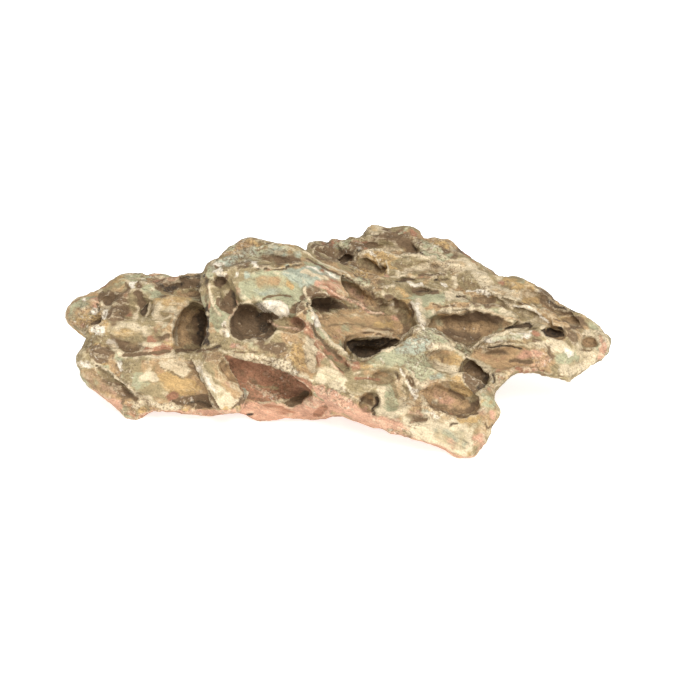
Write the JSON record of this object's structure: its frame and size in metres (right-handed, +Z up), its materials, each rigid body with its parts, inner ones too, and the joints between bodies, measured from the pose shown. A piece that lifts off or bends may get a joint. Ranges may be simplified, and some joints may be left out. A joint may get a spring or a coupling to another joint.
{
  "type": "dragon stone",
  "caption": "Long, low, craggy piece of weathered claystone, scooped into hollows with sharp ridges, that lies on an aquarium bed as a decoration.",
  "frame": {"origin": "middle of the stone's bounding box, at the height of the feet it lies on", "axes": "+X to the right along the stone's length as its front is seen, +Y to the back, +Z up"},
  "size_m": [0.278, 0.1536, 0.0876],
  "materials": {
    "claystone": "matt, weathered, in ochre, olive and cream with brown hollows"
  },
  "bodies": {
    "root": {"stone": "claystone"}
  },
  "joints": []
}
